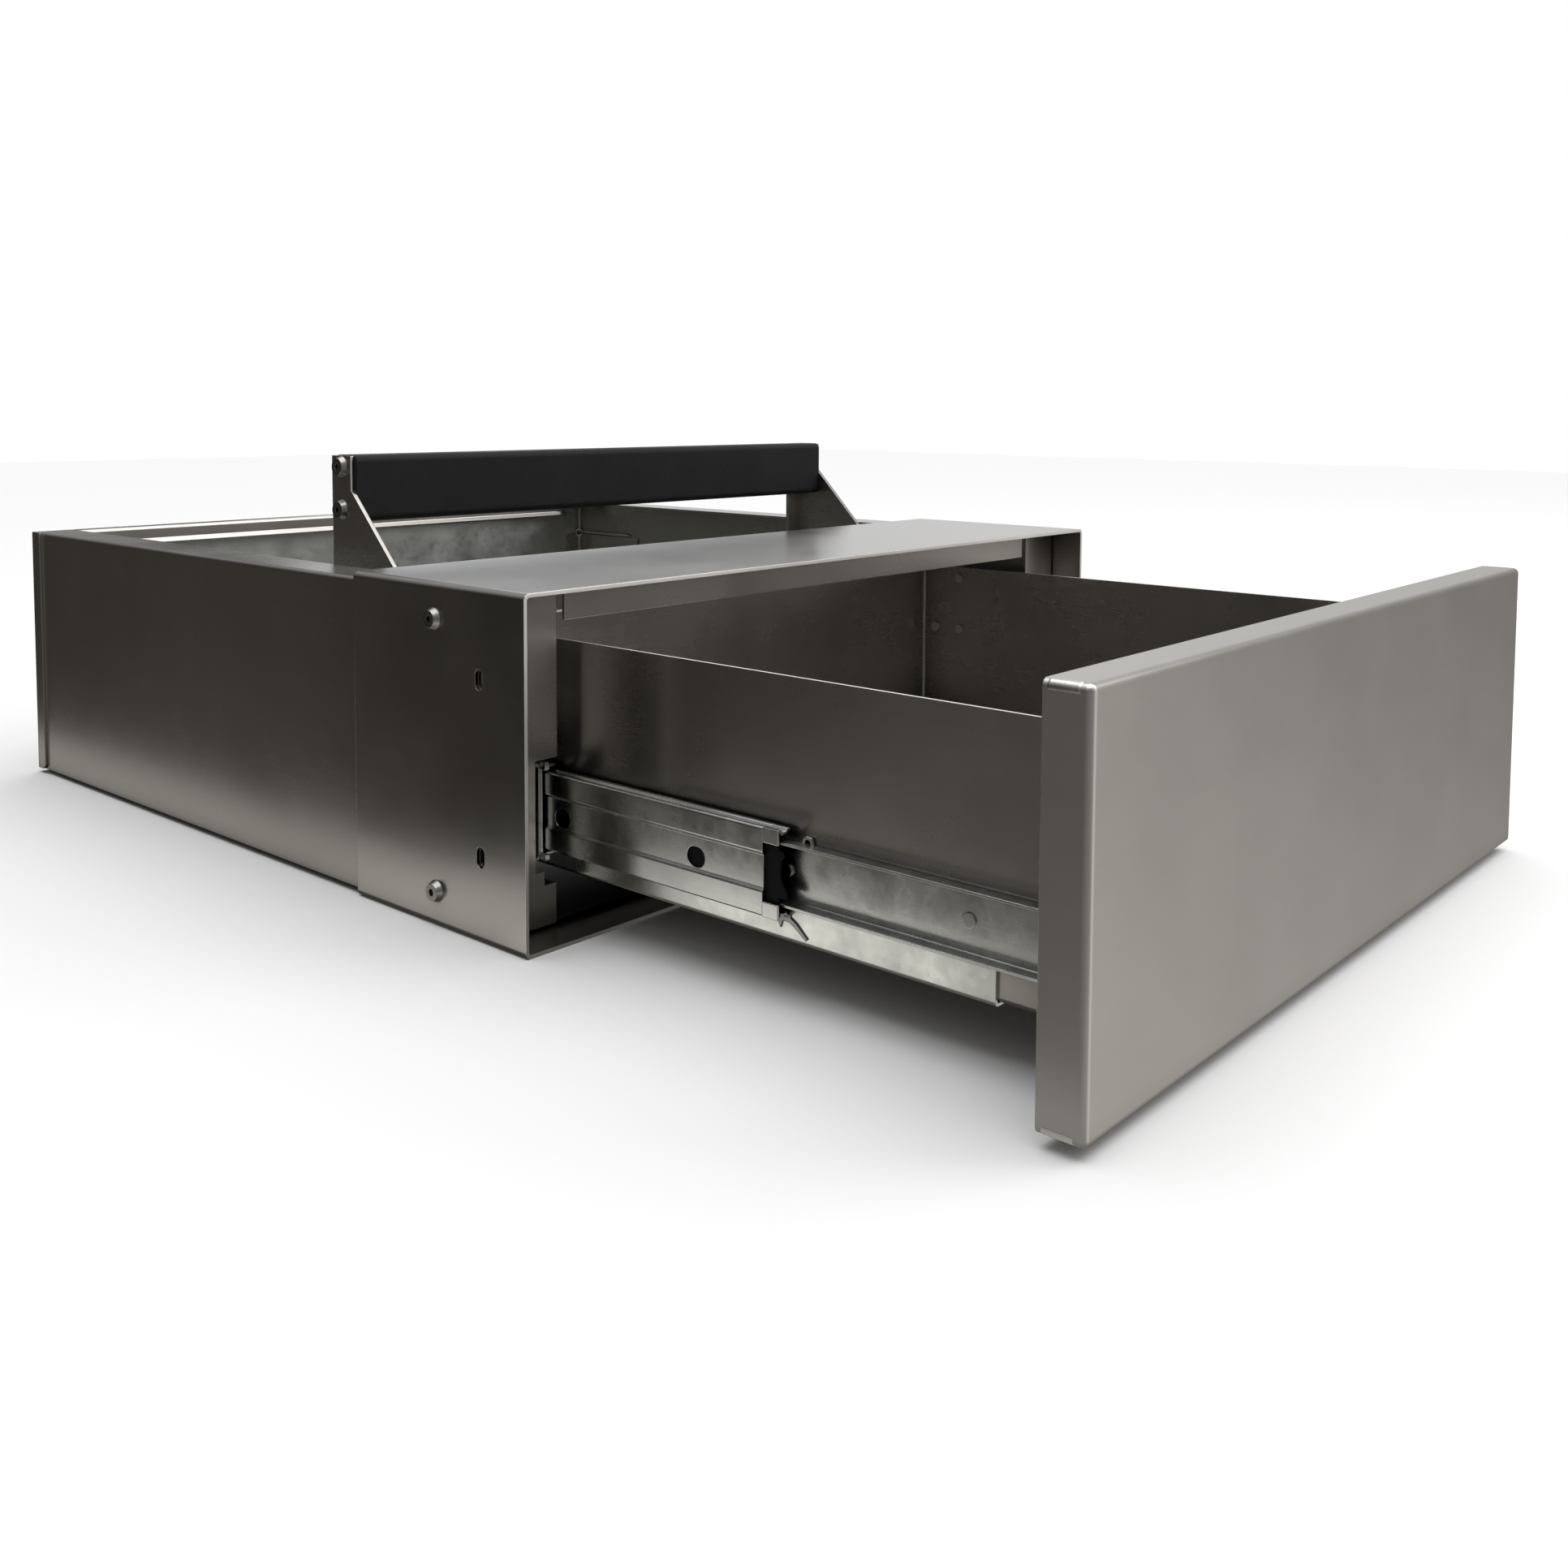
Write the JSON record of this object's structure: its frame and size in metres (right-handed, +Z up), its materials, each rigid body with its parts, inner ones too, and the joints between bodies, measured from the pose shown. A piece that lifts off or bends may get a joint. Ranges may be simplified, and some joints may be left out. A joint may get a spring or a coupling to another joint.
{
  "type": "bank teller deposit drawer",
  "caption": "Counter-mounted deposit drawer: stainless mouth sleeve, long open tub and a sheet-metal drawer on ball-bearing slides, worked from behind by a black handle.",
  "frame": {"origin": "centre of the mouth sleeve's underside", "axes": "+X to the customer's right, +Y from the customer to the teller along the drawer's travel, +Z up"},
  "size_m": [0.5186, 0.8418, 0.2333],
  "materials": {
    "stainless": "brushed stainless sheet",
    "galvanised": "dull zinc-coated sheet",
    "zinc": "bright zinc plate",
    "cage": "black ball retainer",
    "balls": "polished",
    "black_screws": "dark zinc",
    "aluminium": "mill finish",
    "grip": "satin, fine grain",
    "rubber": "matt"
  },
  "bodies": {
    "housing": {"mouth_sleeve": "stainless", "tub_side_left": "stainless", "tub_side_right": "stainless", "tub_floor": "stainless", "tub_rear_wall": "stainless", "top_rail": "stainless", "sleeve_screws": "black_screws", "sleeve_nuts": "zinc", "rear_gusset_left": "stainless", "rear_gusset_right": "stainless", "cabinet_rail_left": "zinc", "cabinet_rail_right": "zinc", "slide_channel_left": "galvanised", "slide_channel_right": "galvanised", "cabinet_rail_rivets": "zinc", "closing_bumpers": "rubber"},
    "drawer": {"drawer_tray": "stainless", "drawer_rear_wall": "stainless", "drawer_front_wall": "stainless", "support_angle_left": "zinc", "support_angle_right": "zinc", "front_panel": "stainless", "panel_back_cover": "stainless", "panel_stiffeners": "galvanised", "panel_screws": "zinc", "drawer_rail_left": "zinc", "drawer_rail_right": "zinc", "drawer_rail_rivets": "zinc", "handle_bracket_left": "stainless", "handle_bracket_right": "stainless", "bracket_rivets": "zinc", "handle_core": "aluminium", "handle_grip": "grip", "handle_screws": "black_screws"},
    "left_middle_member": {"middle_rail_left": "zinc"},
    "right_middle_member": {"middle_rail_right": "zinc"},
    "left_outer_ball_cage": {"outer_cage_left": "cage", "outer_balls_left": "balls"},
    "right_outer_ball_cage": {"outer_cage_right": "cage", "outer_balls_right": "balls"},
    "left_inner_ball_cage": {"inner_cage_left": "cage", "inner_balls_left": "balls"},
    "right_inner_ball_cage": {"inner_cage_right": "cage", "inner_balls_right": "balls"}
  },
  "joints": [
    {"name": "drawer_slide", "type": "slide", "parent": "housing", "child": "drawer", "axis": [0, 1, 0], "range_m": [0, 0.298]},
    {"name": "left_middle_slide", "type": "slide", "parent": "housing", "child": "left_middle_member", "axis": [0, 1, 0], "range_m": [0, 0.149]},
    {"name": "left_outer_cage_roll", "type": "slide", "parent": "housing", "child": "left_outer_ball_cage", "axis": [0, 1, 0], "range_m": [0, 0.0745]},
    {"name": "left_inner_cage_roll", "type": "slide", "parent": "housing", "child": "left_inner_ball_cage", "axis": [0, 1, 0], "range_m": [0, 0.2235]},
    {"name": "right_middle_slide", "type": "slide", "parent": "housing", "child": "right_middle_member", "axis": [0, 1, 0], "range_m": [0, 0.149]},
    {"name": "right_outer_cage_roll", "type": "slide", "parent": "housing", "child": "right_outer_ball_cage", "axis": [0, 1, 0], "range_m": [0, 0.0745]},
    {"name": "right_inner_cage_roll", "type": "slide", "parent": "housing", "child": "right_inner_ball_cage", "axis": [0, 1, 0], "range_m": [0, 0.2235]}
  ],
  "couplings": [
    {"joint": "left_middle_slide", "follows": "drawer_slide", "ratio": 0.5},
    {"joint": "left_outer_cage_roll", "follows": "drawer_slide", "ratio": 0.25},
    {"joint": "left_inner_cage_roll", "follows": "drawer_slide", "ratio": 0.75},
    {"joint": "right_middle_slide", "follows": "drawer_slide", "ratio": 0.5},
    {"joint": "right_outer_cage_roll", "follows": "drawer_slide", "ratio": 0.25},
    {"joint": "right_inner_cage_roll", "follows": "drawer_slide", "ratio": 0.75}
  ]
}
